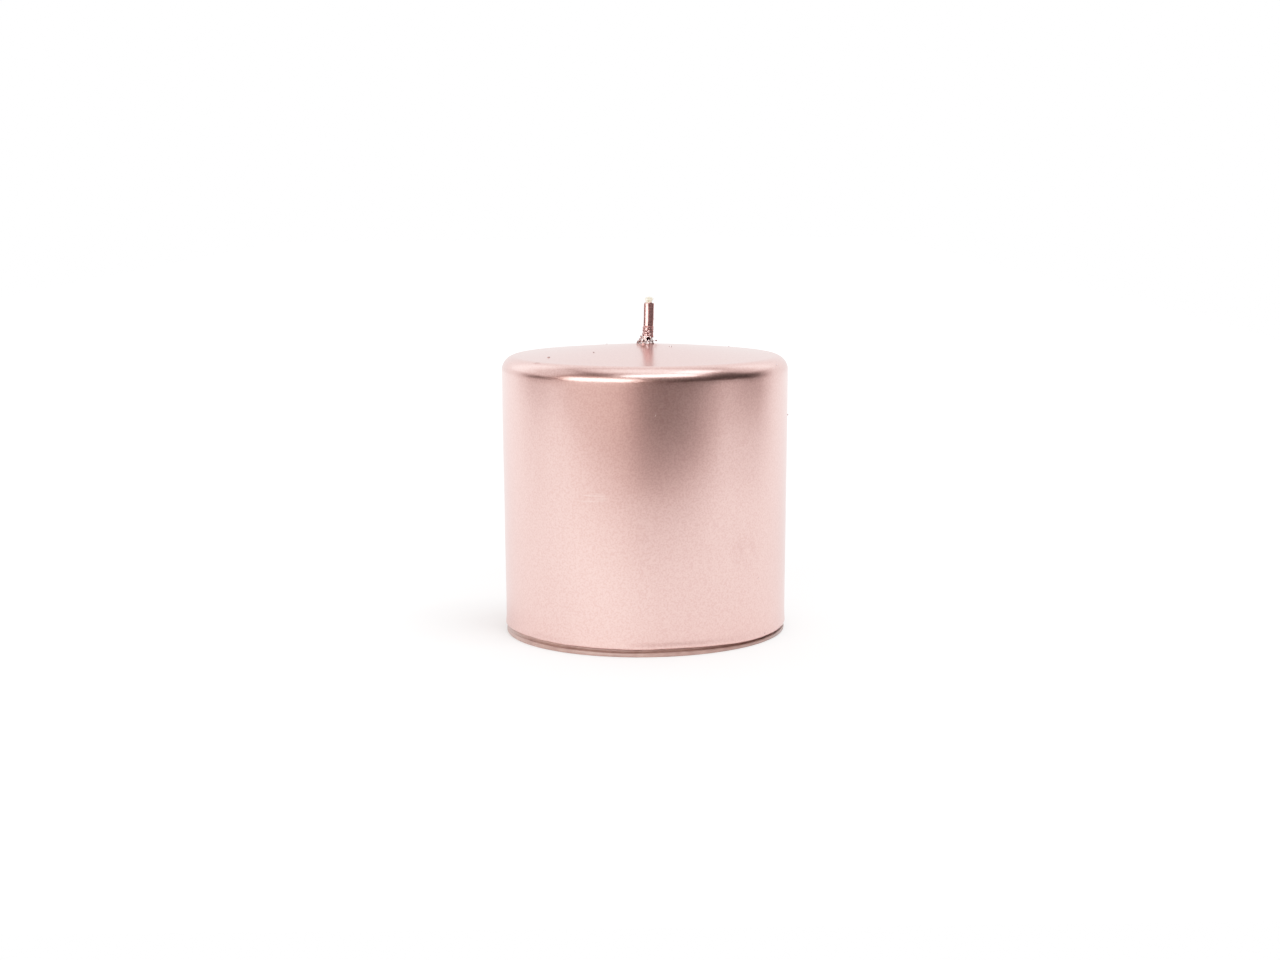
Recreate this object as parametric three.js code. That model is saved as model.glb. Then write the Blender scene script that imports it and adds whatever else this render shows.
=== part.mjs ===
// A squat pillar candle, dipped in rose-gold metallic lacquer, as its separate pieces.
// Millimetres, +Z up, the origin at the centre of the base, -Y the front.
import * as THREE from 'three';

// Driving dimensions
const TOP_RADIUS = 35; // the lacquered side, just under the shoulder
const LOW_RADIUS = 34.5; // the same side at its lower lip: the candle was drawn from a tapered mould
const SHOULDER_HEIGHT = 67.9;
const SHOULDER_RADIUS = 3.6;
const DOME_RISE = 2.5; // how far the top swells above the shoulder
const DOME_POWER = 1.3; // between a cone, 1, and a paraboloid, 2
const WICK_TIP_HEIGHT = 81.5;

// The layers, from the outside in, and the clearance between touching pieces
const CLEARANCE = 0.3;
const LACQUER_THICKNESS = 0.55;
const OVERDIP_THICKNESS = 1.2;
const OVERDIP_INSET = LACQUER_THICKNESS + CLEARANCE;
const CORE_INSET = OVERDIP_INSET + OVERDIP_THICKNESS + CLEARANCE;

// The foot, where the lacquer stops short of the table
const FOOT_RADIUS = 34.4;
const LIP_HEIGHT = 1.85; // mean height of the lacquer's lower lip
const LIP_BEAD = 0.12; // how far the drained bead stands out there
const LIP_BLEND_HEIGHT = 6; // above this the lip's waviness has died away
// Where the lip drained high or low: degrees round from the front, how far each way, how much higher
const LIP_RISES = [
  [-60, 25, 0.4],
  [-24, 12, 0.1],
  [14, 12, 0.15],
  [50, 22, -0.33],
  [150, 40, 0.3],
  [-130, 25, -0.2],
];

// The wick. It leaves the wax aslant to +X, straightens, and leans back a little, to +Y.
const WICK_RADIUS = 0.9;
const WICK_LEAN = 1.12;
const WICK_LEAN_FROM = 67.5;
const WICK_LEAN_REACH = 5; // the height in which the lean has mostly straightened
const WICK_SLANT = 0.18; // how far back it goes for each millimetre up
const WICK_SLANT_FROM = 70.4;
const BORE_SLACK = 0.6; // the drilled bore is a loose fit, so the wick may stand off its middle
const BORE_RADIUS = WICK_RADIUS + CLEARANCE + BORE_SLACK;

// The film of lacquered wax on the bare wick: a thick lower stretch, a step, then a thin one
const SLEEVE_CLEARANCE = 0.15;
const SLEEVE_RADIUS = 1.28;
const SLEEVE_LOW_RADIUS = 1.45;
const SLEEVE_FOOT_HEIGHT = 73;
const SLEEVE_STEP_HEIGHT = 74.7;
const SLEEVE_TOP_HEIGHT = 80.4;

// The crumbly bead of wax and lacquer round the wick's root
const BEAD_RADIUS = 2.7;
const BEAD_INNER_RADIUS = 1.3;
const BEAD_TOP_HEIGHT = 72.6;
const BEAD_LUMP = 0.22; // how far its lumps stand out
const BEAD_LUMPS_ROUND = 5;
const BEAD_LUMP_TWIST = 2; // radians for each millimetre up

// The pressed-steel wick clip and the wax that seals it into the base
const CLIP_RADIUS = 7.5;
const CLIP_BORE_RADIUS = WICK_RADIUS + CLEARANCE;
const CLIP_THICKNESS = 0.35;
const CLIP_NECK_RADIUS = 1.55;
const CLIP_NECK_TOP = 7.1;
const CLIP_CRIMP = 0.1;
const RECESS_RADIUS = 9;
const RECESS_DEPTH = 1.9;
const CLIP_HEIGHT = RECESS_DEPTH - CLEARANCE - CLIP_THICKNESS;
const SEAL_HEIGHT = 0.4;
const SEAL_LEDGE_RADIUS = 6;
const NECK_BORE_RADIUS = CLIP_NECK_RADIUS + CLEARANCE;

// Facets
const BODY_SEGMENTS = 56;
const SMALL_SEGMENTS = 32;
const ARC_STEPS = 5;
const DOME_STEPS = 4;
const WICK_SIDES = 12;
const WICK_STEPS = 40;
const WICK_LEAN_STEPS = 9;

const point = (radius, height) => new THREE.Vector2(radius, height);

function material(color, roughness, metalness) {
  return new THREE.MeshStandardMaterial({ color, roughness, metalness });
}

// Turns a profile of (radius, height) points about the +Z axis.
function turned(profile, segments) {
  return new THREE.LatheGeometry(profile, segments).rotateX(Math.PI / 2);
}

function closedProfile(points) {
  return [...points, points[0].clone()];
}

// Moves every vertex by what `shift(x, y, z)` returns.
function reshaped(geometry, shift) {
  const place = geometry.attributes.position;
  for (let i = 0; i < place.count; i += 1) {
    const [x, y, z] = [place.getX(i), place.getY(i), place.getZ(i)];
    const [dx, dy, dz] = shift(x, y, z);
    place.setXYZ(i, x + dx, y + dy, z + dz);
  }
  geometry.computeVertexNormals();
  return geometry;
}

function domeHeight(radius) {
  const edge = TOP_RADIUS - SHOULDER_RADIUS;
  return SHOULDER_HEIGHT + DOME_RISE * (1 - (radius / edge) ** DOME_POWER);
}

// The candle's own outline, `inset` inside the lacquer's outer face, from the side's foot up over
// the rounded shoulder and the dome to the wick's bore.
function bodyOutline(inset, footHeight) {
  const shoulderCentre = point(TOP_RADIUS - SHOULDER_RADIUS, SHOULDER_HEIGHT - SHOULDER_RADIUS);
  const outline = [
    point(LOW_RADIUS - inset, footHeight),
    point(LOW_RADIUS - inset, LIP_BLEND_HEIGHT),
  ];
  for (let step = 0; step <= ARC_STEPS; step += 1) {
    const angle = (step / ARC_STEPS) * (Math.PI / 2);
    const reach = SHOULDER_RADIUS - inset;
    outline.push(shoulderCentre.clone().add(point(reach * Math.cos(angle), reach * Math.sin(angle))));
  }
  for (let step = 1; step <= DOME_STEPS; step += 1) {
    const radius = THREE.MathUtils.lerp(shoulderCentre.x, BORE_RADIUS, step / DOME_STEPS);
    outline.push(point(radius, domeHeight(radius) - inset));
  }
  return outline;
}

// How far the lacquer's lip runs above its mean height at a point's place round the candle.
function lipWave(x, y) {
  const fromFront = THREE.MathUtils.radToDeg(Math.atan2(x, -y));
  const rises = LIP_RISES.map(([centre, reach, rise]) => (
    rise * Math.exp(-(((fromFront - centre) / reach) ** 2))
  ));
  return rises.reduce((sum, rise) => sum + rise, 0);
}

// Carries the wave from the lip down to the table and up to where it has died away.
function wavyLip(geometry, lipHeight) {
  return reshaped(geometry, (x, y, z) => {
    const below = z / lipHeight;
    const above = (LIP_BLEND_HEIGHT - z) / (LIP_BLEND_HEIGHT - LIP_HEIGHT);
    const share = THREE.MathUtils.clamp(Math.min(below, above), 0, 1);
    return [0, 0, share * lipWave(x, y)];
  });
}

// How far the wick's middle has moved in x and y at a height.
function wickOffset(height) {
  const risen = Math.max(height - WICK_LEAN_FROM, 0);
  const aside = WICK_LEAN * (1 - Math.exp(-risen / WICK_LEAN_REACH));
  return [aside, WICK_SLANT * Math.max(height - WICK_SLANT_FROM, 0)];
}

function leaningWithWick(geometry) {
  return reshaped(geometry, (x, y, z) => [...wickOffset(z), 0]);
}

// Pressed white paraffin, with the wick's bore right through it and a shallow recess in its base.
function waxCore() {
  const inside = [
    point(BORE_RADIUS, CLIP_NECK_TOP + CLEARANCE),
    point(NECK_BORE_RADIUS, CLIP_NECK_TOP + CLEARANCE),
    point(NECK_BORE_RADIUS, RECESS_DEPTH),
    point(RECESS_RADIUS, RECESS_DEPTH),
    point(RECESS_RADIUS, 0),
  ];
  return turned(closedProfile([...bodyOutline(CORE_INSET, 0), ...inside]), BODY_SEGMENTS);
}

// The dyed wax that the core was dipped in. Its foot shows below the lacquer's lip.
function overdipSkin() {
  const ledge = LIP_HEIGHT - CLEARANCE;
  const foot = [point(FOOT_RADIUS, 0), point(FOOT_RADIUS, ledge)];
  const outside = bodyOutline(OVERDIP_INSET, ledge);
  const inside = bodyOutline(OVERDIP_INSET + OVERDIP_THICKNESS, 0).reverse();
  return wavyLip(turned(closedProfile([...foot, ...outside, ...inside]), BODY_SEGMENTS), ledge);
}

// The metallic lacquer, over the side and the top, ending in a drained bead short of the table.
function lacquerCoat() {
  const outside = bodyOutline(0, LIP_HEIGHT);
  outside[0].x += LIP_BEAD;
  const inside = bodyOutline(LACQUER_THICKNESS, LIP_HEIGHT).reverse();
  return wavyLip(turned(closedProfile([...outside, ...inside]), BODY_SEGMENTS), LIP_HEIGHT);
}

// Braided cotton, from the clip's underside to its bare tip. The wax holds it all the way.
function wick() {
  const section = new THREE.Shape();
  section.absellipse(0, 0, WICK_RADIUS, WICK_RADIUS, 0, 2 * Math.PI);
  const route = new THREE.CurvePath();
  const start = new THREE.Vector3(0, 0, CLIP_HEIGHT - CLIP_THICKNESS / 2);
  const bend = new THREE.Vector3(0, 0, WICK_LEAN_FROM);
  route.add(new THREE.LineCurve3(start, bend));
  const leaning = [];
  for (let step = 0; step <= WICK_LEAN_STEPS; step += 1) {
    const height = THREE.MathUtils.lerp(WICK_LEAN_FROM, WICK_TIP_HEIGHT, step / WICK_LEAN_STEPS);
    leaning.push(new THREE.Vector3(...wickOffset(height), height));
  }
  route.add(new THREE.CatmullRomCurve3(leaning));
  return new THREE.ExtrudeGeometry(section, {
    extrudePath: route,
    steps: WICK_STEPS,
    curveSegments: WICK_SIDES / 2,
    bevelEnabled: false,
  });
}

// The lacquered wax film that stiffens the wick, open at the top where the wick stays bare.
function wickSleeve() {
  const inner = WICK_RADIUS + SLEEVE_CLEARANCE;
  const profile = [
    point(SLEEVE_LOW_RADIUS, SLEEVE_FOOT_HEIGHT),
    point(SLEEVE_LOW_RADIUS, SLEEVE_STEP_HEIGHT),
    point(SLEEVE_RADIUS, SLEEVE_STEP_HEIGHT),
    point(SLEEVE_RADIUS, (SLEEVE_STEP_HEIGHT + SLEEVE_TOP_HEIGHT) / 2),
    point(SLEEVE_RADIUS, SLEEVE_TOP_HEIGHT),
    point(inner, SLEEVE_TOP_HEIGHT),
    point(inner, (SLEEVE_STEP_HEIGHT + SLEEVE_TOP_HEIGHT) / 2),
    point(inner, SLEEVE_STEP_HEIGHT),
    point(inner, SLEEVE_FOOT_HEIGHT),
  ];
  return leaningWithWick(turned(closedProfile(profile), SMALL_SEGMENTS));
}

// Crumbs of wax and lacquer that gathered where the wick leaves the top.
function wickRootBead() {
  const inner = BEAD_INNER_RADIUS;
  const under = (radius) => domeHeight(radius) + CLEARANCE;
  const rise = BEAD_TOP_HEIGHT - under(BEAD_RADIUS);
  const outside = [];
  for (let step = 0; step <= ARC_STEPS; step += 1) {
    const angle = (step / ARC_STEPS) * (Math.PI / 2);
    const radius = THREE.MathUtils.lerp(inner + CLEARANCE, BEAD_RADIUS, 1 - Math.sin(angle));
    outside.push(point(radius, under(BEAD_RADIUS) + rise * (1 - Math.cos(angle))));
  }
  const inside = [point(inner, BEAD_TOP_HEIGHT), point(inner, under(inner))];
  const smooth = turned(closedProfile([...outside, ...inside]), SMALL_SEGMENTS);
  const lumpy = reshaped(smooth, (x, y, z) => {
    const radius = Math.hypot(x, y);
    const outward = (radius - inner) / (BEAD_RADIUS - inner);
    const turn = BEAD_LUMPS_ROUND * Math.atan2(y, x) + BEAD_LUMP_TWIST * z;
    const lump = BEAD_LUMP * outward * Math.sin(turn);
    return [(x / radius) * lump, (y / radius) * lump, 0];
  });
  return leaningWithWick(lumpy);
}

// A steel disc with a crimped neck that grips the wick's lower end.
function wickClip() {
  const crimpHeight = (CLIP_HEIGHT + CLIP_NECK_TOP) / 2;
  const profile = [
    point(CLIP_RADIUS, CLIP_HEIGHT),
    point(CLIP_RADIUS, CLIP_HEIGHT + CLIP_THICKNESS),
    point(CLIP_NECK_RADIUS, CLIP_HEIGHT + CLIP_THICKNESS),
    point(CLIP_NECK_RADIUS - CLIP_CRIMP, crimpHeight),
    point(CLIP_NECK_RADIUS, CLIP_NECK_TOP),
    point(CLIP_BORE_RADIUS, CLIP_NECK_TOP),
    point(CLIP_BORE_RADIUS - CLIP_CRIMP, crimpHeight),
    point(CLIP_BORE_RADIUS, CLIP_HEIGHT),
  ];
  return turned(closedProfile(profile), SMALL_SEGMENTS);
}

// Wax run in round the clip's rim, which holds the disc up in its recess.
function baseSeal() {
  const outer = RECESS_RADIUS - CLEARANCE;
  const wall = CLIP_RADIUS + CLEARANCE;
  const top = RECESS_DEPTH - CLEARANCE;
  const ledge = CLIP_HEIGHT - CLEARANCE;
  const profile = [
    point(outer, SEAL_HEIGHT),
    point(outer, top),
    point(wall, top),
    point(wall, ledge),
    point(SEAL_LEDGE_RADIUS, ledge),
    point(SEAL_LEDGE_RADIUS, SEAL_HEIGHT),
  ];
  return turned(closedProfile(profile), BODY_SEGMENTS);
}

const LACQUER = material('#d8a9a0', 0.32, 0.85);
const pieces = [
  ['wax_core', waxCore(), material('#f1ece2', 0.6, 0)],
  ['overdip_skin', overdipSkin(), material('#c7a79c', 0.5, 0)],
  ['lacquer_coat', lacquerCoat(), LACQUER],
  ['wick', wick(), material('#efe3c8', 0.9, 0)],
  ['wick_sleeve', wickSleeve(), material('#b07f7a', 0.25, 0.8)],
  ['wick_root_bead', wickRootBead(), material('#b98d87', 0.3, 0.7)],
  ['wick_clip', wickClip(), material('#b9bcc0', 0.3, 1)],
  ['base_seal', baseSeal(), material('#eae3d6', 0.55, 0)],
];

const candle = new THREE.Group();
for (const [name, geometry, finish] of pieces) {
  const mesh = new THREE.Mesh(geometry, finish);
  mesh.name = name;
  candle.add(mesh);
}

export default candle;
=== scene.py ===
"""A squat pillar candle in rose-gold metallic lacquer: its looks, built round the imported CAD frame."""

import math
import random

import bmesh
import bpy
import numpy as np
from mathutils import Matrix, Vector, noise


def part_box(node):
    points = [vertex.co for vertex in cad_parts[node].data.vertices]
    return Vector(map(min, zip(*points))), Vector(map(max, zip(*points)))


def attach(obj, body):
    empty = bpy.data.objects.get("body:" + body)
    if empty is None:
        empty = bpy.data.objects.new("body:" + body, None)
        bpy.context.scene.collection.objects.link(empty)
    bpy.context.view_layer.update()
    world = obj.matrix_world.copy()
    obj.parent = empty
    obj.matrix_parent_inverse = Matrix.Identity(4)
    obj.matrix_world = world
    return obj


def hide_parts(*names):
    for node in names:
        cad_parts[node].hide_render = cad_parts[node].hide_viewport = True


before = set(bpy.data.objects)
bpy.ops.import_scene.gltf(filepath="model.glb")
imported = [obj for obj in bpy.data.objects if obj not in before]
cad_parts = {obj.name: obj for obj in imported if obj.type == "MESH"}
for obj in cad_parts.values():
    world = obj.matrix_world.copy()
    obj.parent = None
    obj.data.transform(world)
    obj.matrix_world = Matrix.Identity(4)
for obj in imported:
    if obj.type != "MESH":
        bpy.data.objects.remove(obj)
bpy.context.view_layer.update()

# ---------------------------------------------------------------- sizes, in millimetres
MM = 0.001  # one millimetre in scene units
_, body_high = (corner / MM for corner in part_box("lacquer_coat"))
wick_low, wick_high = (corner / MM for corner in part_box("wick"))
sleeve_low, sleeve_high = (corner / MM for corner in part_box("wick_sleeve"))
clip_low, clip_high = (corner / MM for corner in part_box("wick_clip"))
seal_low, seal_high = (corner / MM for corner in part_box("base_seal"))
_, foot_high = (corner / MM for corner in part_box("overdip_skin"))
_, core_high = (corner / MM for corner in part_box("wax_core"))

BODY_HEIGHT = body_high.z
TOP_RADIUS = body_high.x
LOW_RADIUS = TOP_RADIUS - 0.5
FOOT_RADIUS = foot_high.x
CORE_RADIUS = core_high.x
SHOULDER_RADIUS = 3.6
SHOULDER_HEIGHT = 67.9
DOME_RISE = 2.5
DOME_POWER = 1.3
FILM_THICKNESS = 0.55
SKIN_THICKNESS = 1.2
LAYER_GAP = 0.12  # between one layer and the next
SIDE_SWELL = 0.05  # how far the lacquer is from truly round

LIP_HEIGHT = 1.85
LIP_BEAD = 0.1  # how far the drained lacquer bulges just above its lip
LIP_BEAD_HEIGHT = LIP_HEIGHT + 0.45
LIP_BEAD_REACH = 0.9
LIP_BLEND_HEIGHT = 6  # above this the lip's wave isn't felt
LIP_RIPPLE = 0.07
LIP_RISES = (  # where the lip runs high or low: degrees, reach, rise
    (-60, 25, 0.4),
    (-24, 12, 0.1),
    (14, 12, 0.15),
    (50, 22, -0.33),
    (150, 40, 0.3),
    (-130, 25, -0.2),
)
GROOVE_DEPTH = 1.1  # the groove between the lip and the bare foot
GROOVE_HEIGHT = 0.85
GROOVE_FILLED = (-78, 24)  # the degrees at which wax has run into the groove, and the reach each way

ROOT_HEIGHT = 70.4  # where the wick comes out of the wax
WICK_HOLE = 1.15
WICK_LEAN = 1.12  # how far it shifts towards +X before it straightens
WICK_LEAN_FROM = 67.5
WICK_LEAN_REACH = 5
WICK_SLANT = 0.18  # how far it leans back, towards +Y, for each millimetre above the wax
BRAID_TOP = wick_high.z - 0.45  # the frayed fibres go on above it
BRAID_PITCH = 6.4
BRAID_RADIUS = 0.58
BRAID_DEPTH = 0.1
BRAID_CORE_RADIUS = 0.5
STRANDS_EACH_WAY = 4
STRAND_RADIUS = 0.27
FIBRES = 230
FIBRE_RADIUS = 0.045
SLEEVE_STEP = 74.7  # the sleeve is thick and creased below it, thin and sleek above
SLEEVE_BORE = 0.92
SLEEVE_THICK_RADIUS = 1.36
SLEEVE_FLARE = 0.05  # how much wider it gets for each millimetre down
SLEEVE_THIN_RADIUS = 1.28
SLEEVE_RIM_RADIUS = 1.2
MOUND_HEIGHT = 0.5
MOUND_REACH = 2.8
GATHERED_FROM, GATHERED_WITHIN = 9, 2  # distances out between which the top is drawn to the wick
SEAL_GAP = 0.15
TOP_TILT = 0.5  # degrees: the hand-dipped top isn't quite level, and its sides aren't quite upright
SIDE_TILT = 0.44
SEED = 7


# ---------------------------------------------------------------- mesh helpers
def skewed(points):
    """An upright candle's points, moved to make it a little out of square. The base stays level."""
    x, y, z = np.moveaxis(np.reshape(points, (-1, 3)), 1, 0)
    aside = math.tan(math.radians(SIDE_TILT)) * (z - BODY_HEIGHT / 2)
    drop = math.tan(math.radians(TOP_TILT)) * x * z / BODY_HEIGHT
    return np.stack([x + aside, y, z - drop], axis=1)


def add_piece(name, points, faces):
    """A smooth mesh object from points in millimetres."""
    mesh = bpy.data.meshes.new(name)
    mesh.from_pydata((skewed(points) * MM).tolist(), [], faces)
    mesh.polygons.foreach_set("use_smooth", [True] * len(mesh.polygons))
    mesh.update()
    piece = bpy.data.objects.new(name, mesh)
    bpy.context.scene.collection.objects.link(piece)
    return piece


def ring_faces(rows, columns, closed=True):
    """Quads of a grid that wraps round its columns and, if closed, round its rows too."""
    faces = []
    for row in range(rows if closed else rows - 1):
        here, there = row * columns, (row + 1) % rows * columns
        for column in range(columns):
            beside = (column + 1) % columns
            faces.append([here + column, here + beside, there + beside, there + column])
    return faces


def turned_points(profile, columns):
    """The profile's (radius, height) points turned about +Z: an array of rows, columns, xyz."""
    profile = np.asarray(profile, float)
    angle = np.linspace(0, 2 * math.pi, columns, endpoint=False)
    x = profile[:, :1] * np.sin(angle)
    y = -profile[:, :1] * np.cos(angle)
    z = np.repeat(profile[:, 1:], columns, axis=1)
    return np.stack([x, y, z], axis=2)


def distance_out(points):
    return np.hypot(points[..., 0], points[..., 1])


def azimuth(points):
    """Degrees round +Z from the front, -Y, towards +X."""
    return np.degrees(np.arctan2(points[..., 0], -points[..., 1]))


def at(degrees, radius, height):
    """The point at an azimuth, a distance from the axis and a height."""
    turn = math.radians(degrees)
    return np.array([radius * math.sin(turn), -radius * math.cos(turn), height])


def arc(centre, radius, start, end, steps):
    """(radius, height) points of an arc, its angles in degrees from the outward direction."""
    angles = np.radians(np.linspace(start, end, steps + 1))
    return [(centre[0] + radius * math.cos(a), centre[1] + radius * math.sin(a)) for a in angles]


def line(start, end, steps):
    """Points from start up to, and not at, end."""
    (radius, height), (end_radius, end_height) = start, end
    shares = np.linspace(0, 1, steps, endpoint=False)
    return [(radius + (end_radius - radius) * s, height + (end_height - height) * s) for s in shares]


def fractal(points, scale, octaves=3, offset=0.0):
    """Smooth noise of about -1 to 1 at each point, its largest lumps `scale` across."""
    flat = np.reshape(points, (-1, 3)) / scale + (offset, -offset, 2 * offset)
    lumps = [noise.fractal(p, 1.0, 2.0, octaves, noise_basis="PERLIN_ORIGINAL") for p in flat]
    return np.reshape(lumps, np.shape(points)[:-1])


def widened(points, amount):
    """The points moved straight out from the axis."""
    radius = np.maximum(distance_out(points), 1e-6)
    moved = points.copy()
    moved[..., :2] *= ((radius + amount) / radius)[..., None]
    return moved


def tube(route, radii, sides=8):
    """Points and faces of a closed tube along a route, its radius given at each point."""
    route = np.asarray(route, float)
    ahead = np.gradient(route, axis=0)
    ahead /= np.linalg.norm(ahead, axis=1, keepdims=True)
    side = np.cross(ahead, (0.31, 0.87, 0.38))
    side /= np.linalg.norm(side, axis=1, keepdims=True)
    up = np.cross(ahead, side)
    angle = np.linspace(0, 2 * math.pi, sides, endpoint=False)[:, None]
    section = np.cos(angle) * side[:, None] + np.sin(angle) * up[:, None]
    rings = route[:, None] + np.broadcast_to(radii, len(route))[:, None, None] * section
    faces = ring_faces(len(route), sides, closed=False)
    faces.append(list(range(sides))[::-1])
    faces.append(list(range((len(route) - 1) * sides, len(route) * sides)))
    return rings.reshape(-1, 3), faces


def joined(parts):
    """Points and faces of several closed shapes as one list each."""
    points, faces, count = [], [], 0
    for part_points, part_faces in parts:
        points.append(np.reshape(part_points, (-1, 3)))
        faces += [[index + count for index in face] for face in part_faces]
        count += len(points[-1])
    return np.concatenate(points), faces


# ---------------------------------------------------------------- the body's layers
def dome_height(radius):
    return SHOULDER_HEIGHT + DOME_RISE * (1 - (radius / (TOP_RADIUS - SHOULDER_RADIUS)) ** DOME_POWER)


def body_outline(inset, foot_height, side_steps, arc_steps, dome_steps):
    """The candle's outline, `inset` inside its outer face, from the side's foot to the wick's hole."""
    centre = (TOP_RADIUS - SHOULDER_RADIUS, SHOULDER_HEIGHT - SHOULDER_RADIUS)
    foot = (LOW_RADIUS - inset, foot_height)
    bend = (LOW_RADIUS - inset, LIP_BLEND_HEIGHT)
    points = line(foot, bend, max(side_steps // 4, 4))
    points += line(bend, (TOP_RADIUS - inset, centre[1]), side_steps)
    points += arc(centre, SHOULDER_RADIUS - inset, 0, 90, arc_steps)
    for step in range(1, dome_steps + 1):
        radius = centre[0] + (WICK_HOLE - centre[0]) * (step / dome_steps) ** 0.8
        points.append((radius, dome_height(radius) - inset))
    return points


def lip_wave(points):
    """How far the lacquer's lip runs above its mean height at each point's azimuth."""
    degrees = azimuth(points)
    wave = LIP_RIPPLE * fractal(points * (1, 1, 0), 4, 2, 8.3)
    for centre, reach, rise in LIP_RISES:
        wave += rise * np.exp(-(((degrees - centre) / reach) ** 2))
    return wave


def wick_offset(height):
    """The wick's shift at a height, an xyz row: it leaves the wax aslant to +X and leans back."""
    height = np.asarray(height, float)
    aside = WICK_LEAN * (1 - np.exp(-np.maximum(height - WICK_LEAN_FROM, 0) / WICK_LEAN_REACH))
    back = WICK_SLANT * np.maximum(height - ROOT_HEIGHT, 0)
    return np.stack([aside, back, 0 * height], axis=-1)


def leaning(points):
    """The points carried along with the wick's lean."""
    return points + wick_offset(points[..., 2])


def gathered_round_wick(points):
    """A layer's middle drawn over to where the wick comes through, and up into a little mound."""
    radius = distance_out(points)
    share = np.clip((GATHERED_FROM - radius) / (GATHERED_FROM - GATHERED_WITHIN), 0, 1)
    moved = points + wick_offset(ROOT_HEIGHT) * (share * share * (3 - 2 * share))[..., None]
    moved[..., 2] += MOUND_HEIGHT * np.exp(-(radius / MOUND_REACH) ** 2)
    return moved


def lacquer_film():
    """The lacquer over the side and top: a thin shell whose lip is a rounded, drained bead."""
    columns = 288
    foot = LIP_HEIGHT + FILM_THICKNESS / 2
    outside = body_outline(0, foot, 56, 20, 44)
    inside = body_outline(FILM_THICKNESS, foot, 8, 8, 14)[::-1]
    lip = arc((LOW_RADIUS - FILM_THICKNESS / 2, foot), FILM_THICKNESS / 2, -172, -8, 8)
    points = turned_points(outside + inside + lip, columns)
    height = points[..., 2]
    share = np.clip((LIP_BLEND_HEIGHT - height) / (LIP_BLEND_HEIGHT - LIP_HEIGHT), 0, 1)
    bead = np.exp(-((height - LIP_BEAD_HEIGHT) / LIP_BEAD_REACH) ** 2)
    on_side = distance_out(points) > LOW_RADIUS - 2 * FILM_THICKNESS
    points[..., 2] += share * lip_wave(points)
    points = widened(points, LIP_BEAD * bead * on_side + SIDE_SWELL * fractal(points, 19, 2, 3.1))
    points = gathered_round_wick(points)
    return add_piece("lacquer_film", points, ring_faces(len(points), columns))


def overdip_wax():
    """The dyed wax under the lacquer. Its foot is a bare strip, squared off by the table."""
    columns = 240
    ledge = LIP_HEIGHT - 0.05
    inner = LOW_RADIUS - FILM_THICKNESS - LAYER_GAP
    groove_low, groove_radius = ledge - GROOVE_HEIGHT, FOOT_RADIUS - GROOVE_DEPTH
    foot = arc((FOOT_RADIUS - 0.4, 0.4), 0.4, -90, 0, 6)
    foot += line((FOOT_RADIUS, 0.5), (FOOT_RADIUS - 0.08, groove_low - 0.1), 4)
    foot += arc((FOOT_RADIUS - 0.2, groove_low - 0.12), 0.12, 0, 90, 3)
    foot += [(groove_radius, groove_low + 0.06), (groove_radius, ledge)]
    outside = body_outline(TOP_RADIUS - inner - 0.5, ledge + 0.1, 12, 8, 14)
    inside = body_outline(FILM_THICKNESS + 2 * LAYER_GAP + SKIN_THICKNESS, 0, 12, 8, 14)[::-1]
    points = turned_points(foot + outside + inside, columns)
    height = points[..., 2]
    above = (LIP_BLEND_HEIGHT - height) / (LIP_BLEND_HEIGHT - LIP_HEIGHT)
    in_groove = np.abs(distance_out(points) - groove_radius) < 0.01
    filled = np.exp(-(((azimuth(points) - GROOVE_FILLED[0]) / GROOVE_FILLED[1]) ** 2))
    points[..., 2] += np.clip(np.minimum(height / ledge, above), 0, 1) * lip_wave(points)
    points = widened(points, 0.03 * fractal(points, 5, 3, 1.7) - 0.03)
    points = widened(points, in_groove * filled * (GROOVE_DEPTH - 0.2))
    points = gathered_round_wick(points)
    return add_piece("overdip_wax", points, ring_faces(len(points), columns))


def pressed_core():
    """The white wax body, with the wick's bore and the recess for its clip."""
    columns = 144
    neck_radius, neck_top = 1.8, clip_high.z + 0.2
    recess_radius, ceiling = seal_high.x + SEAL_GAP, seal_high.z + SEAL_GAP
    outside = body_outline(TOP_RADIUS - CORE_RADIUS - LAYER_GAP, 0.3, 14, 8, 14)
    inside = [(WICK_HOLE, neck_top), (neck_radius, neck_top), (neck_radius, ceiling + 0.2)]
    inside += [(neck_radius + 0.2, ceiling), (recess_radius - 0.2, ceiling)]
    inside += [(recess_radius, ceiling - 0.2), (recess_radius, 0.25), (recess_radius + 0.25, 0)]
    base = line((recess_radius + 0.5, 0), (outside[0][0] - 0.3, 0), 24)
    points = gathered_round_wick(turned_points(outside, columns))
    points = np.concatenate([points, turned_points(inside + base, columns)])
    return add_piece("pressed_core", points, ring_faces(len(points), columns))


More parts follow.
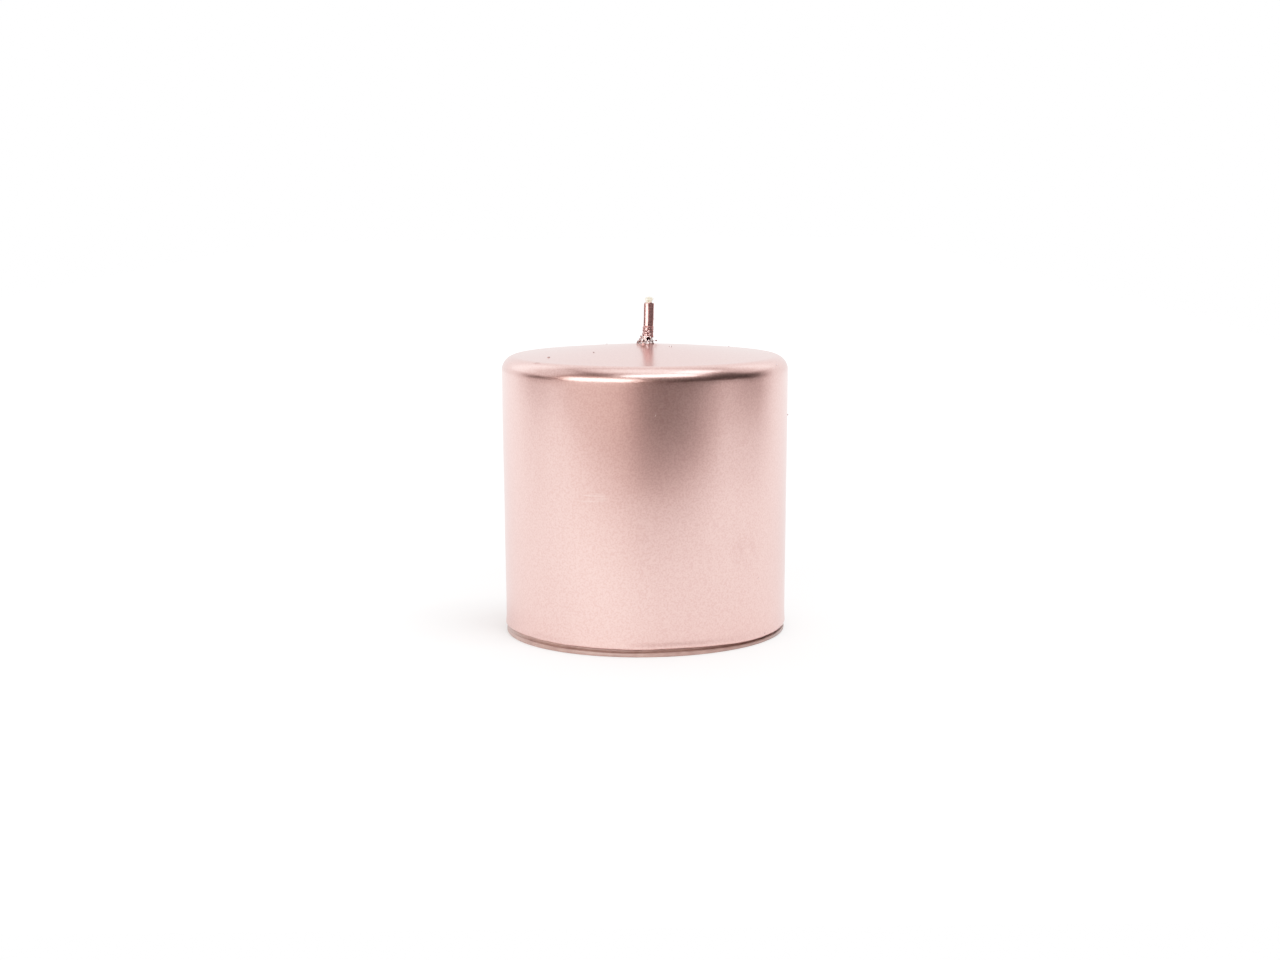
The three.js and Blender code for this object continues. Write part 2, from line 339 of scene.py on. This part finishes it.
# ---------------------------------------------------------------- the wick and what clings to it
def wick_braid():
    """Eight cotton strands braided round a core, cut and frayed at the top."""
    rng = random.Random(SEED)
    turn = 2 * math.pi / BRAID_PITCH
    heights = np.linspace(wick_low.z, BRAID_TOP, 270)
    core = np.stack([0 * heights, 0 * heights, heights], axis=1)
    parts = [tube(leaning(core), BRAID_CORE_RADIUS, 10)]
    for way in (1, -1):
        for strand in range(STRANDS_EACH_WAY):
            angle = way * turn * heights + strand * 2 * math.pi / STRANDS_EACH_WAY
            radius = BRAID_RADIUS + way * BRAID_DEPTH * np.cos(STRANDS_EACH_WAY * turn * heights)
            route = np.stack([radius * np.cos(angle), radius * np.sin(angle), heights], axis=1)
            parts.append(tube(leaning(route), STRAND_RADIUS, 8))
    along = np.linspace(0, 1, 6)
    for _ in range(FIBRES):
        angle, start = rng.uniform(0, 2 * math.pi), rng.uniform(0, 0.9)
        length, spread = rng.uniform(0.45, 1.3), rng.uniform(-0.2, 0.65)
        reach = start + spread * along ** 1.6
        swirl = angle + rng.uniform(-0.7, 0.7) * along
        height = BRAID_TOP - 0.35 + (length - 0.5 * start) * along
        route = np.stack([reach * np.cos(swirl), reach * np.sin(swirl), height], axis=1)
        parts.append(tube(leaning(route), FIBRE_RADIUS * (1 - 0.5 * along), 5))
    return add_piece("wick_braid", *joined(parts))


def wick_film():
    """The lacquered wax on the bare wick: thick and creased, then a torn step, then thin and sleek."""
    columns, rim = 80, SLEEVE_RIM_RADIUS
    low, top = sleeve_low.z - 0.8, sleeve_high.z
    thick_rows = np.linspace(low, SLEEVE_STEP - 0.1, 44)
    thin_rows = np.linspace(SLEEVE_STEP + 0.14, top - 0.06, 56)
    rows = [(SLEEVE_THICK_RADIUS + SLEEVE_FLARE * (SLEEVE_STEP - height), height) for height in thick_rows]
    rows += [(1.43, SLEEVE_STEP - 0.06), (1.4, SLEEVE_STEP)]
    rows += [(rim, SLEEVE_STEP), (rim, SLEEVE_STEP + 0.04)]
    rows += [(SLEEVE_THIN_RADIUS, height) for height in thin_rows]
    rows += [(rim, top), (SLEEVE_BORE + 0.03, top)]
    rows += [(SLEEVE_BORE, height) for height in np.linspace(top - 0.1, low, 12)]
    points = turned_points(rows, columns)
    turn = np.radians(azimuth(points))
    height = points[..., 2]
    outer = distance_out(points) > SLEEVE_BORE + 0.05
    creased = np.clip((SLEEVE_STEP - height) / 0.3, 0, 1) * outer
    folds = np.sin(9 * height + 1.5 * np.sin(2 * turn) + turn) * (0.6 + 0.4 * np.sin(3 * turn))
    swell = 0.03 * np.cos(2 * turn + 0.1 * height) * outer
    swell += creased * (0.05 * folds + 0.09 * fractal(points, 0.8, 3, 5.2))
    swell += (outer & (height > SLEEVE_STEP)) * 0.035 * fractal(points * (1, 1, 0.3), 1.8, 2, 2.6)
    points = widened(points, swell)
    step = np.exp(-((height - SLEEVE_STEP + 0.03) / 0.08) ** 2)
    brim = np.clip((height - top + 0.6) / 0.6, 0, 1)
    points[..., 2] += 0.12 * step * np.sin(2 * turn + 0.4) + 0.05 * step * np.sin(7 * turn)
    points[..., 2] += brim * (0.16 * np.sin(2 * turn + 1.1) + 0.08 * np.sin(5 * turn))
    return add_piece("wick_film", leaning(points), ring_faces(len(points), columns))


def crumb(rng, centre, size, flatness=1.0):
    """One irregular crumb: a fine icosphere pushed about by noise."""
    ball = bmesh.new()
    bmesh.ops.create_icosphere(ball, subdivisions=3, radius=1)
    directions = np.array([vertex.co[:] for vertex in ball.verts])
    faces = [[vertex.index for vertex in face.verts] for face in ball.faces]
    ball.free()
    offset = rng.uniform(0, 50)
    stretch = np.array([rng.uniform(0.8, 1.25), rng.uniform(0.8, 1.25), rng.uniform(0.65, 1) * flatness])
    lump = 1 + 0.34 * fractal(directions, 1.1, 2, offset) + 0.1 * fractal(directions, 0.4, 2, offset)
    return centre + size * lump[:, None] * directions * stretch, faces


def fused(piece, voxel):
    """The piece's overlapping shapes run together into one closed skin."""
    remesh = piece.modifiers.new("fuse", "REMESH")
    remesh.mode = "VOXEL"
    remesh.voxel_size = voxel * MM
    depsgraph = bpy.context.evaluated_depsgraph_get()
    mesh = bpy.data.meshes.new_from_object(piece.evaluated_get(depsgraph), depsgraph=depsgraph)
    piece.modifiers.clear()
    piece.data = mesh
    mesh.polygons.foreach_set("use_smooth", [True] * len(mesh.polygons))
    return piece


CRUMB_ROWS = (  # height, distance out, how many, size
    (70.75, 1.8, 9, 0.42),
    (71.35, 1.65, 7, 0.36),
    (71.95, 1.52, 6, 0.28),
    (72.4, 1.42, 5, 0.2),
    (72.9, 1.6, 4, 0.16),
)
STRAY_CRUMBS = (  # degrees, distance out, height, size
    (-82, 2.0, 71.1, 0.4),
    (-70, 2.35, 70.8, 0.26),
    (-88, 1.5, 72.3, 0.16),
    (74, 1.9, 71.35, 0.22),
    (82, 2.45, 71.3, 0.3),
    (20, 1.95, 70.85, 0.3),
    (150, 2.1, 71.0, 0.34),
    (-150, 2.3, 70.9, 0.3),
)
CRUMB_VOXEL = 0.055


def root_crumbs():
    """The crumbly bead round the wick's root: a collar of wax with lumps stuck to it."""
    rng = random.Random(SEED + 1)
    middle = wick_offset(71.3) - (0.25, 0, 0)
    profile = [(1.2, 70.5), (2.3, 70.45), (1.8, 70.75), (1.45, 71.2)]
    profile += [(1.35, 71.8), (1.32, 72.4), (1.2, 72.4)]
    parts = [(turned_points(profile, 48) + middle, ring_faces(len(profile), 48))]
    for height, reach, count, size in CRUMB_ROWS:
        for index in range(count):
            degrees = 360 * (index + rng.uniform(-0.3, 0.3)) / count + 50 * height
            radius = reach + rng.uniform(-0.15, 0.15)
            place = at(degrees, radius, height + rng.uniform(-0.2, 0.2)) + middle
            parts.append(crumb(rng, place, size * rng.uniform(0.7, 1.2)))
    for degrees, reach, height, size in STRAY_CRUMBS:
        parts.append(crumb(rng, at(degrees, reach, height) + middle, size))
    return fused(add_piece("root_crumbs", *joined(parts)), CRUMB_VOXEL)


def side_radius(height):
    share = (height - LIP_BLEND_HEIGHT) / (SHOULDER_HEIGHT - SHOULDER_RADIUS - LIP_BLEND_HEIGHT)
    return LOW_RADIUS + (TOP_RADIUS - LOW_RADIUS) * max(share, 0)


TOP_FLECKS = (  # degrees, distance out, size
    (-59.5, 26.6, 0.34),
    (-48, 16.5, 0.2),
    (61, 7.1, 0.36),
    (-150, 19, 0.22),
    (128, 27, 0.25),
)
SIDE_FLECKS = (  # degrees, height, size
    (86, 53.2, 0.26),
    (50.8, 16.2, 0.18),
    (55.6, 2.3, 0.26),
    (3.8, 56.8, 0.1),
    (6.9, 58.6, 0.12),
    (-128, 44, 0.2),
    (162, 12, 0.24),
)


def lacquer_flecks():
    """Stray crumbs of lacquer on the top, side and shoulder, a bit of lint and the wick's loose hair."""
    rng = random.Random(SEED + 2)
    parts = [crumb(rng, at(degrees, radius, dome_height(radius) + 0.06), size, 0.7)
             for degrees, radius, size in TOP_FLECKS]
    parts += [crumb(rng, at(degrees, side_radius(height), height), size)
              for degrees, height, size in SIDE_FLECKS]
    parts.append(crumb(rng, at(66, 34.15, 66.5), 0.3))
    bend = np.linspace(0, 1, 9)
    lint = [at(-54 + 5 * b, 32.3 + 0.6 * math.sin(3 * b), dome_height(31.4) - 0.16) for b in bend]
    parts.append(tube(lint, 0.07 * (1 - 0.6 * bend), 6))
    hair = [at(84, 1.1 + 0.75 * b, 76.35 + 0.5 * b - 0.5 * b * b) + wick_offset(76.4) for b in bend]
    parts.append(tube(hair, 0.05 + 0.07 * bend, 6))
    return add_piece("lacquer_flecks", *joined(parts))


# ---------------------------------------------------------------- what the base hides
CRIMP_DEPTH, CRIMP_REACH = 0.13, 0.7
SEAL_RIPPLE = 0.09


def clip_plate():
    """The steel clip: a stamped disc with a ring groove, and a neck crimped round the wick."""
    columns = 96
    rim, under, over = clip_high.x, clip_low.z, clip_low.z + 0.35
    bore, neck, top = 1.2, 1.55, clip_high.z
    profile = [(bore, under + 0.1), (bore + 0.12, under), (3.2, under), (3.5, under + 0.12)]
    profile += [(3.9, under + 0.12), (4.2, under), (rim - 0.12, under), (rim, under + 0.12)]
    profile += [(rim, over - 0.1), (rim - 0.1, over), (4.2, over), (3.9, over + 0.1)]
    profile += [(3.5, over + 0.1), (3.2, over), (neck + 0.25, over), (neck, over + 0.3)]
    profile += line((neck, over + 0.4), (neck, top - 0.08), 20)
    profile += [(neck - 0.06, top), (bore + 0.06, top)]
    profile += line((bore, top - 0.08), (bore, under + 0.2), 20)
    points = turned_points(profile, columns)
    crimp = CRIMP_DEPTH * np.exp(-((points[..., 2] - (over + top) / 2) / CRIMP_REACH) ** 2)
    points = widened(points, -crimp * (0.5 + 0.5 * np.cos(4 * np.radians(azimuth(points)))))
    return add_piece("clip_plate", points, ring_faces(len(points), columns))


def seal_ring():
    """Wax run in round the clip, sunk a little where it cooled."""
    columns = 144
    outer, wall, ledge_radius = seal_high.x, clip_high.x + 0.12, 6.0
    bottom, ledge, top = seal_low.z, clip_low.z - 0.1, seal_high.z
    profile = [(ledge_radius, ledge - 0.1), (ledge_radius + 0.05, bottom + 0.3)]
    profile += line((ledge_radius + 0.25, bottom + 0.12), (outer - 0.2, bottom + 0.1), 12)
    profile += [(outer, bottom + 0.25), (outer, top), (wall, top), (wall, ledge)]
    profile.append((ledge_radius + 0.1, ledge))
    points = turned_points(profile, columns)
    points[..., 2] += SEAL_RIPPLE * fractal(points, 3, 3, 9.0) * (points[..., 2] < bottom + 0.28)
    return add_piece("seal_ring", points, ring_faces(len(points), columns))


# ---------------------------------------------------------------- materials
class Finish:
    """A Principled material and a few ways to add procedural detail to it, in millimetres."""

    def __init__(self, name, **sockets):
        self.material = bpy.data.materials.new(name)
        self.material.use_nodes = True
        self.nodes = self.material.node_tree.nodes
        self.links = self.material.node_tree.links
        self.shader = self.nodes["Principled BSDF"]
        for socket, value in sockets.items():
            self.shader.inputs[socket.replace("_", " ")].default_value = value
        place = self.nodes.new("ShaderNodeTexCoord")
        scale = self.nodes.new("ShaderNodeVectorMath")
        scale.operation = "SCALE"
        scale.inputs["Scale"].default_value = 1 / MM
        self.links.new(place.outputs["Object"], scale.inputs[0])
        self.place = scale.outputs[0]

    def noise(self, size, detail=2.0, roughness=0.5, stretch=(1, 1, 1)):
        """Noise from 0 to 1 whose lumps are about `size` across, times `stretch` along each axis."""
        mapping = self.nodes.new("ShaderNodeMapping")
        mapping.inputs["Scale"].default_value = [1 / (size * times) for times in stretch]
        self.links.new(self.place, mapping.inputs["Vector"])
        texture = self.nodes.new("ShaderNodeTexNoise")
        texture.inputs["Scale"].default_value = 1
        texture.inputs["Detail"].default_value = detail
        texture.inputs["Roughness"].default_value = roughness
        self.links.new(mapping.outputs[0], texture.inputs["Vector"])
        return texture.outputs["Fac"]

    def mapped(self, value, low, high, start=0.0, end=1.0):
        """The value taken from low..high to start..end, held at both ends."""
        node = self.nodes.new("ShaderNodeMapRange")
        for socket, number in zip(("From Min", "From Max", "To Min", "To Max"), (low, high, start, end)):
            node.inputs[socket].default_value = number
        self.links.new(value, node.inputs["Value"])
        return node.outputs[0]

    def maths(self, operation, first, second):
        node = self.nodes.new("ShaderNodeMath")
        node.operation = operation
        for socket, value in zip(node.inputs, (first, second)):
            if isinstance(value, (int, float)):
                socket.default_value = value
            else:
                self.links.new(value, socket)
        return node.outputs[0]

    def mixed(self, share, first, second):
        """A colour between two, each an (r, g, b) or a socket."""
        node = self.nodes.new("ShaderNodeMix")
        node.data_type = "RGBA"
        self.links.new(share, node.inputs["Factor"])
        sockets = [socket for socket in node.inputs if socket.type == "RGBA"]
        for socket, value in zip(sockets, (first, second)):
            if isinstance(value, tuple):
                socket.default_value = (*value, 1)
            else:
                self.links.new(value, socket)
        return [socket for socket in node.outputs if socket.type == "RGBA"][0]

    def patch(self, centre, radius, soft, squash=1.0):
        """1 inside a ball round a point, `squash` times less tall than wide, fading to 0 over `soft`."""
        scaled = self.nodes.new("ShaderNodeVectorMath")
        scaled.operation = "MULTIPLY"
        scaled.inputs[1].default_value = (1, 1, squash)
        self.links.new(self.place, scaled.inputs[0])
        distance = self.nodes.new("ShaderNodeVectorMath")
        distance.operation = "DISTANCE"
        distance.inputs[1].default_value = (centre[0], centre[1], centre[2] * squash)
        self.links.new(scaled.outputs[0], distance.inputs[0])
        return self.mapped(distance.outputs["Value"], radius, radius + soft, 1, 0)

    def bump(self, *heights):
        """Bump from (height socket, depth in millimetres) pairs, one on top of another."""
        normal = None
        for height, depth in heights:
            node = self.nodes.new("ShaderNodeBump")
            node.inputs["Distance"].default_value = depth * MM
            self.links.new(height, node.inputs["Height"])
            if normal is not None:
                self.links.new(normal, node.inputs["Normal"])
            normal = node.outputs[0]
        self.links.new(normal, self.shader.inputs["Normal"])

    def colour(self, socket):
        self.links.new(socket, self.shader.inputs["Base Color"])

    def rough(self, socket):
        self.links.new(socket, self.shader.inputs["Roughness"])


ROSE_GOLD = (0.745, 0.438, 0.403)
ROSE_GOLD_DEEP = (0.645, 0.357, 0.323)
SCRATCH_COLOUR = (0.93, 0.72, 0.68)
SMUDGE_COLOUR = (0.55, 0.3, 0.28)
GRAZING_TINT = (0.86, 0.82, 0.82, 1)
LACQUER_ROUGHNESS = 0.285
SMUDGE_ROUGHNESS = LACQUER_ROUGHNESS + 0.06
SMUDGE_PLACE = at(43, TOP_RADIUS, 23.5)
SMUDGE_SHARE = 0.35
SCRATCH_PLACE = at(-21.3, TOP_RADIUS, 37.6)
SCRATCH_SHARE = 0.2


def lacquer_finish():
    """Metallic lacquer: fine flake, orange peel, a dull smudge and a few fine scratches."""
    finish = Finish("rose_gold_lacquer", Metallic=1.0, Specular_Tint=GRAZING_TINT,
                    Coat_Weight=0.15, Coat_Roughness=0.12)
    flake = finish.noise(0.42, 1, 0.6)
    peel = finish.noise(1.4, 2)
    smudge = finish.maths("MULTIPLY", finish.patch(SMUDGE_PLACE, 2, 4.5),
                          finish.mapped(finish.noise(1.6, 3, 0.7, (1, 1, 1.8)), 0.42, 0.6))
    strokes = finish.maths("MULTIPLY", finish.patch(SCRATCH_PLACE, 3, 1.5, 2.6),
                           finish.mapped(finish.noise(0.36, 1, 0.5, (16, 16, 1)), 0.52, 0.62))
    shade = finish.mapped(flake, 0.36, 0.64)
    tint = finish.mixed(shade, ROSE_GOLD_DEEP, ROSE_GOLD)
    scratched = finish.mixed(finish.maths("MULTIPLY", strokes, SCRATCH_SHARE), tint, SCRATCH_COLOUR)
    smudged = finish.mixed(finish.maths("MULTIPLY", smudge, SMUDGE_SHARE), scratched, SMUDGE_COLOUR)
    finish.colour(smudged)
    finish.rough(finish.mapped(smudge, 0, 1, LACQUER_ROUGHNESS, SMUDGE_ROUGHNESS))
    finish.bump((peel, 0.006), (flake, 0.0015), (strokes, 0.004))
    return finish.material


def plain_finish(name, shades, size, rough, bumps, **sockets):
    """Two shades and two roughnesses mixed by noise of a size, with bumps of (size, depth) each."""
    finish = Finish(name, **sockets)
    grain = finish.noise(size, 4, 0.6)
    finish.colour(finish.mixed(finish.mapped(grain, 0.35, 0.65), *shades))
    finish.rough(finish.mapped(grain, 0.3, 0.7, *rough))
    finish.bump(*[(finish.noise(scale, 3, 0.6), depth) for scale, depth in bumps])
    return finish.material


def dress(piece, material, slot, *nodes):
    """Gives a piece its material and the CAD nodes it stands for. The slot is not used."""
    piece.data.materials.clear()
    piece.data.materials.append(material)
    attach(piece, "root")
    if nodes:
        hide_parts(*nodes)


def build_candle():
    wick_lacquer = plain_finish(
        "wick_lacquer", shades=((0.4, 0.2, 0.19), (0.56, 0.32, 0.31)), size=0.6, rough=(0.1, 0.15),
        bumps=[(0.45, 0.002)], Metallic=0.75, Specular_Tint=(0.7, 0.5, 0.5, 1))
    crumb_lacquer_painted_glint_shade = plain_finish(  # painted glints and painted shade: near-white and near-black lacquer side by side, so that the crumbs glitter
        "crumb_lacquer_painted_glint_shade", shades=((0.03, 0.01, 0.01), (0.95, 0.75, 0.73)), size=0.6, rough=(0.04, 0.09),
        bumps=[(0.6, 0.12), (0.25, 0.04)], Metallic=1.0)
    dyed_wax = plain_finish(
        "dyed_wax", shades=((0.26, 0.15, 0.13), (0.34, 0.21, 0.18)), size=3, rough=(0.35, 0.5),
        bumps=[(0.8, 0.02)])
    white_wax = plain_finish(
        "pressed_wax", shades=((0.86, 0.82, 0.74), (0.93, 0.9, 0.84)), size=1.5, rough=(0.5, 0.7),
        bumps=[(0.9, 0.05)])
    cotton = plain_finish(
        "wick_cotton", shades=((0.9, 0.82, 0.62), (0.97, 0.93, 0.8)), size=0.3, rough=(0.8, 0.95),
        bumps=[(0.12, 0.02)])
    steel = plain_finish(
        "tinned_steel", shades=((0.55, 0.56, 0.58), (0.68, 0.69, 0.7)), size=0.8, rough=(0.2, 0.35),
        bumps=[(0.3, 0.003)], Metallic=1.0)
    run_wax = plain_finish(
        "seal_wax", shades=((0.84, 0.8, 0.72), (0.9, 0.87, 0.8)), size=2, rough=(0.3, 0.5),
        bumps=[(1.2, 0.03)])
    dress(lacquer_film(), lacquer_finish(), "lacquer", "lacquer_coat")
    dress(overdip_wax(), dyed_wax, "dyed_wax", "overdip_skin")
    dress(pressed_core(), white_wax, "core_wax", "wax_core")
    dress(wick_braid(), cotton, "cotton", "wick")
    dress(wick_film(), wick_lacquer, "wick_lacquer", "wick_sleeve")
    dress(root_crumbs(), crumb_lacquer_painted_glint_shade, "bead_lacquer", "wick_root_bead")
    # the flecks wear the same painted glints and painted shade as the crumbs
    dress(lacquer_flecks(), crumb_lacquer_painted_glint_shade, "bead_lacquer")
    dress(clip_plate(), steel, "clip_steel", "wick_clip")
    dress(seal_ring(), run_wax, "seal_wax", "base_seal")


# ---------------------------------------------------------------- studio
CAMERA_DISTANCE = 520  # millimetres
CAMERA_ELEVATION = 8.35  # degrees, as is the roll
CAMERA_AIM_HEIGHT = 36.85
CAMERA_SIDESTEP = -1.25
CAMERA_ROLL = -0.6
CAMERA_LENS = 59.3  # on a 36 mm wide sensor
FILM_SHOULDER = 2.0  # how strongly the picture's tones roll off towards white
TONE_LEVELS = (0.15, 0.35, 0.55, 0.75)
SHEET_LEFT, SHEET_RIGHT = -0.6, 0.41  # metres
SHEET_FRONT, SHEET_BACK = -0.211, 3.0
FLOOR_GAP = 0.02  # keeps the base's flat face clear of the sheet
GLOW_NEAR, GLOW_FAR = 0.2, 0.66  # the sheet's own light at the candle and far from it
GLOW_MIDDLE, GLOW_RADIUS, GLOW_FADE = (0, 20, 0), 100, 560
PAINTED_SHADOW_MIDDLE, PAINTED_SHADOW_RADIUS, PAINTED_SHADOW_FADE = (-35, 9, 0), 7, 25  # the painted shadow beside the foot: the sheet's glow is turned down there
PAINTED_SHADOW_DEPTH = 0.2
SOFTBOX_DISTANCE = 1.0  # metres
WARM, WHITE = (1, 0.86, 0.8), (1, 1, 1)
SOFTBOXES = (  # name, degrees round from the front, elevation, width, height, radiance, colour
    ("low_left", -36, 14, 50, 16, 6.4, WARM),
    ("high_middle", 15, 48, 44, 7.5, 10, WHITE),
    ("high_right", 68, 62, 20, 18, 3.2, WHITE),
    ("side_left", -108, 36, 58, 42, 0.7, WHITE),
    ("side_right", 115, 40, 42, 30, 0.55, WHITE),
)
WORLD_BEHIND = (0.24, 0.6, 1.02)  # the direction's y where light starts and where it is full, its level
WORLD_ABOVE = (0.84, 0.99, 1.4)  # the same for the direction's z


def add_camera():
    data = bpy.data.cameras.new("camera")
    data.lens = CAMERA_LENS
    data.sensor_width = 36
    data.clip_start = 0.01
    data.clip_end = 50
    camera = bpy.data.objects.new("camera", data)
    bpy.context.scene.collection.objects.link(camera)
    tilt = math.radians(CAMERA_ELEVATION)
    back = Vector((0, -math.cos(tilt), math.sin(tilt)))
    aim = Vector((CAMERA_SIDESTEP, 0, CAMERA_AIM_HEIGHT)) * MM
    roll = Matrix.Rotation(math.radians(CAMERA_ROLL), 3, "Z")
    turn = (-back).to_track_quat("-Z", "Y").to_matrix() @ roll
    camera.matrix_world = Matrix.Translation(aim + back * CAMERA_DISTANCE * MM) @ turn.to_4x4()
    bpy.context.scene.camera = camera


def add_floor():
    """A white sheet. It ends out of the camera's view, so that the front of the studio stays dark."""
    mesh = bpy.data.meshes.new("floor")
    corners = [(SHEET_LEFT, SHEET_FRONT, 0), (SHEET_RIGHT, SHEET_FRONT, 0),
               (SHEET_RIGHT, SHEET_BACK, 0), (SHEET_LEFT, SHEET_BACK, 0)]
    mesh.from_pydata(corners, [], [[0, 1, 2, 3]])
    floor = bpy.data.objects.new("floor", mesh)
    floor.location.z = -FLOOR_GAP * MM
    bpy.context.scene.collection.objects.link(floor)
    finish = Finish("floor_white", Base_Color=(0.9, 0.9, 0.9, 1), Roughness=0.8,
                    Emission_Color=(1, 1, 1, 1))
    near = finish.patch(GLOW_MIDDLE, GLOW_RADIUS, GLOW_FADE)
    glow = finish.mapped(near, 0, 1, GLOW_FAR, GLOW_NEAR)
    # painted shadow: the sheet's glow is lowered in a soft patch beside the foot, where a shadow would
    # fall
    painted_shadow_mask = finish.patch(PAINTED_SHADOW_MIDDLE, PAINTED_SHADOW_RADIUS, PAINTED_SHADOW_FADE)
    shade = finish.maths("MULTIPLY", painted_shadow_mask, PAINTED_SHADOW_DEPTH)
    finish.links.new(finish.maths("SUBTRACT", glow, shade), finish.shader.inputs["Emission Strength"])
    mesh.materials.append(finish.material)


def add_softbox(name, degrees, elevation, width, height, radiance, colour):
    """A rectangular lamp facing the candle. Its width and height are in degrees too."""
    data = bpy.data.lights.new(name, "AREA")
    data.shape = "RECTANGLE"
    data.size = 2 * SOFTBOX_DISTANCE * math.tan(math.radians(width / 2))
    data.size_y = 2 * SOFTBOX_DISTANCE * math.tan(math.radians(height / 2))
    data.energy = radiance * math.pi * data.size * data.size_y
    data.color = colour
    lamp = bpy.data.objects.new(name, data)
    bpy.context.scene.collection.objects.link(lamp)
    rise = math.radians(elevation)
    back = Vector(at(degrees, math.cos(rise), math.sin(rise)))
    middle = Vector((0, 0, BODY_HEIGHT / 2 * MM))
    facing = back.to_track_quat("Z", "Y").to_matrix().to_4x4()
    lamp.matrix_world = Matrix.Translation(middle + back * SOFTBOX_DISTANCE) @ facing
    lamp.visible_camera = False


def add_world():
    """A studio that is white overhead and behind and dark in front. The camera itself sees white."""
    world = bpy.data.worlds.new("studio")
    bpy.context.scene.world = world
    world.use_nodes = True
    nodes, links = world.node_tree.nodes, world.node_tree.links
    direction = nodes.new("ShaderNodeTexCoord")
    axes = nodes.new("ShaderNodeSeparateXYZ")
    links.new(direction.outputs["Generated"], axes.inputs[0])
    brighter = nodes.new("ShaderNodeMath")
    brighter.operation = "MAXIMUM"
    for socket, axis, (low, high, level) in zip(brighter.inputs, "YZ", (WORLD_BEHIND, WORLD_ABOVE)):
        ramp = nodes.new("ShaderNodeMapRange")
        ramp.inputs["From Min"].default_value = low
        ramp.inputs["From Max"].default_value = high
        ramp.inputs["To Max"].default_value = level
        links.new(axes.outputs[axis], ramp.inputs["Value"])
        links.new(ramp.outputs[0], socket)
    seen = nodes.new("ShaderNodeLightPath")
    strength = nodes.new("ShaderNodeMix")
    links.new(seen.outputs["Is Camera Ray"], strength.inputs["Factor"])
    links.new(brighter.outputs[0], strength.inputs["A"])
    strength.inputs["B"].default_value = 1.0
    background = nodes["Background"]
    background.inputs["Color"].default_value = (1, 1, 1, 1)
    links.new(strength.outputs["Result"], background.inputs["Strength"])


def set_tones():
    """Plain colours with a camera's soft shoulder: 1 - exp(-x), scaled so that 1 is still white."""
    view = bpy.context.scene.view_settings
    view.view_transform = "Standard"
    view.use_curve_mapping = True
    curve = view.curve_mapping.curves[3]  # all channels together
    for level in TONE_LEVELS:
        shown = (1 - math.exp(-FILM_SHOULDER * level)) / (1 - math.exp(-FILM_SHOULDER))
        curve.points.new(level, shown)
    view.curve_mapping.update()


build_candle()
add_camera()
add_floor()
add_world()
for softbox in SOFTBOXES:
    add_softbox(*softbox)
set_tones()
